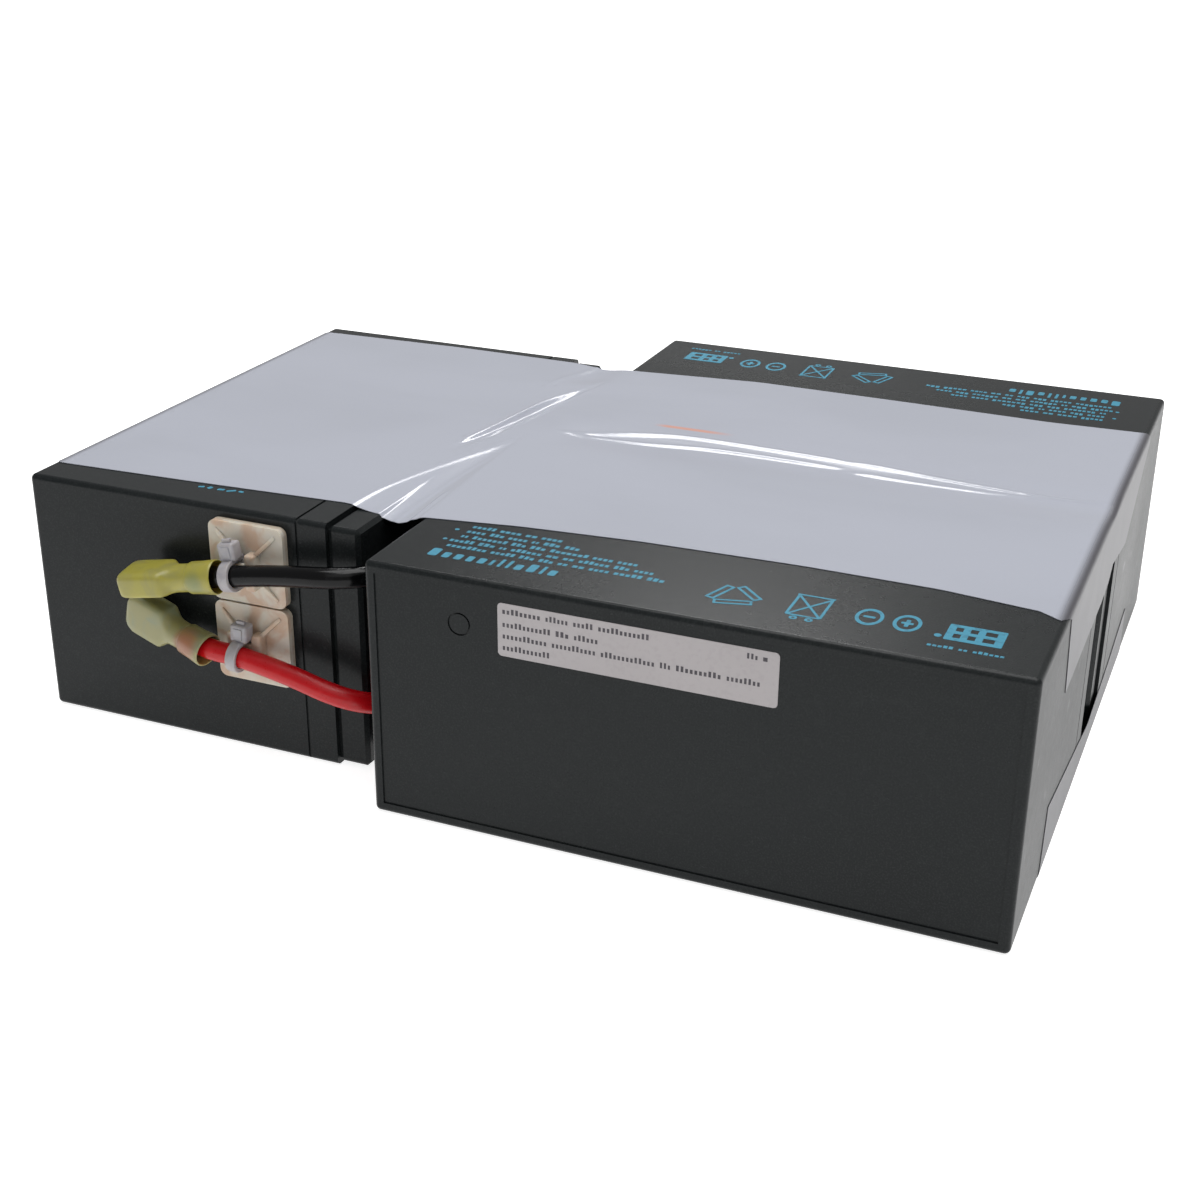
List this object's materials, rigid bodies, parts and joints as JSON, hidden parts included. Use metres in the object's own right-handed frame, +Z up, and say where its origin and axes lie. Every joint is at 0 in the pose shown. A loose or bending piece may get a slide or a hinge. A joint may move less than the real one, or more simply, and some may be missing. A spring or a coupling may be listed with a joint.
{
  "type": "backup battery pack",
  "caption": "Low backup battery pack: sealed batteries laid flat and bound by film, with a black and a red lead tied to one side, ending in push-on connectors.",
  "frame": {"origin": "middle of the underside of the bound pack, on the surface that it lies on", "axes": "+X along the pack from the sideways battery to the pair, +Y from the face with the label to the back, +Z up"},
  "size_m": [0.2558, 0.199, 0.0649],
  "materials": {
    "battery_plastic": "charcoal ABS, fine-grained satin",
    "cover_plastic": "charcoal ABS, satin",
    "valve_rubber": "black rubber",
    "positive_lead": "brown oxide paste on a lead grid",
    "negative_lead": "grey sponge lead on a lead grid",
    "glass_mat": "white absorbent glass mat",
    "strap_lead": "cast lead alloy",
    "terminal_tin": "tinned brass",
    "sealant": "dark epoxy",
    "connector_brass": "stamped brass",
    "sleeve_nylon": "translucent yellow nylon",
    "binding_film": "white glossy film, slightly see-through",
    "label_paper": "off-white printed label",
    "black_insulation": "black insulation, satin gloss",
    "red_insulation": "red insulation, satin",
    "foam_tape": "white foam tape",
    "mount_nylon": "ivory nylon with warm stains",
    "tie_nylon": "natural nylon"
  },
  "bodies": {
    "root": {"a_case": "battery_plastic", "a_lid": "battery_plastic", "a_vent_cover": "cover_plastic", "a_valve_caps": "valve_rubber", "a_positive_plates": "positive_lead", "a_negative_plates": "negative_lead", "a_separators": "glass_mat", "a_cell_straps": "strap_lead", "a_positive_tab": "terminal_tin", "a_negative_tab": "terminal_tin", "a_terminal_seals": "sealant", "a_receptacle_boots": "sleeve_nylon", "a_tab_receptacles": "connector_brass", "b_case": "battery_plastic", "b_lid": "battery_plastic", "b_vent_cover": "cover_plastic", "b_valve_caps": "valve_rubber", "b_positive_plates": "positive_lead", "b_negative_plates": "negative_lead", "b_separators": "glass_mat", "b_cell_straps": "strap_lead", "b_positive_tab": "terminal_tin", "b_negative_tab": "terminal_tin", "b_terminal_seals": "sealant", "b_receptacle_boots": "sleeve_nylon", "b_tab_receptacles": "connector_brass", "c_case": "battery_plastic", "c_lid": "battery_plastic", "c_vent_cover": "cover_plastic", "c_valve_caps": "valve_rubber", "c_positive_plates": "positive_lead", "c_negative_plates": "negative_lead", "c_separators": "glass_mat", "c_cell_straps": "strap_lead", "c_positive_tab": "terminal_tin", "c_negative_tab": "terminal_tin", "c_terminal_seals": "sealant", "c_receptacle_boots": "sleeve_nylon", "c_tab_receptacles": "connector_brass", "film_top": "binding_film", "film_bottom": "binding_film", "spec_label": "label_paper", "black_lead": "black_insulation", "red_lead": "red_insulation", "jumper_a_b": "red_insulation", "jumper_b_c": "red_insulation", "black_lead_sleeve": "sleeve_nylon", "red_lead_sleeve": "sleeve_nylon", "black_lead_receptacle": "connector_brass", "red_lead_receptacle": "connector_brass", "mount_pad_upper": "foam_tape", "mount_pad_lower": "foam_tape", "tie_mount_upper": "mount_nylon", "tie_mount_lower": "mount_nylon", "cable_tie_upper": "tie_nylon", "cable_tie_lower": "tie_nylon"}
  },
  "joints": []
}
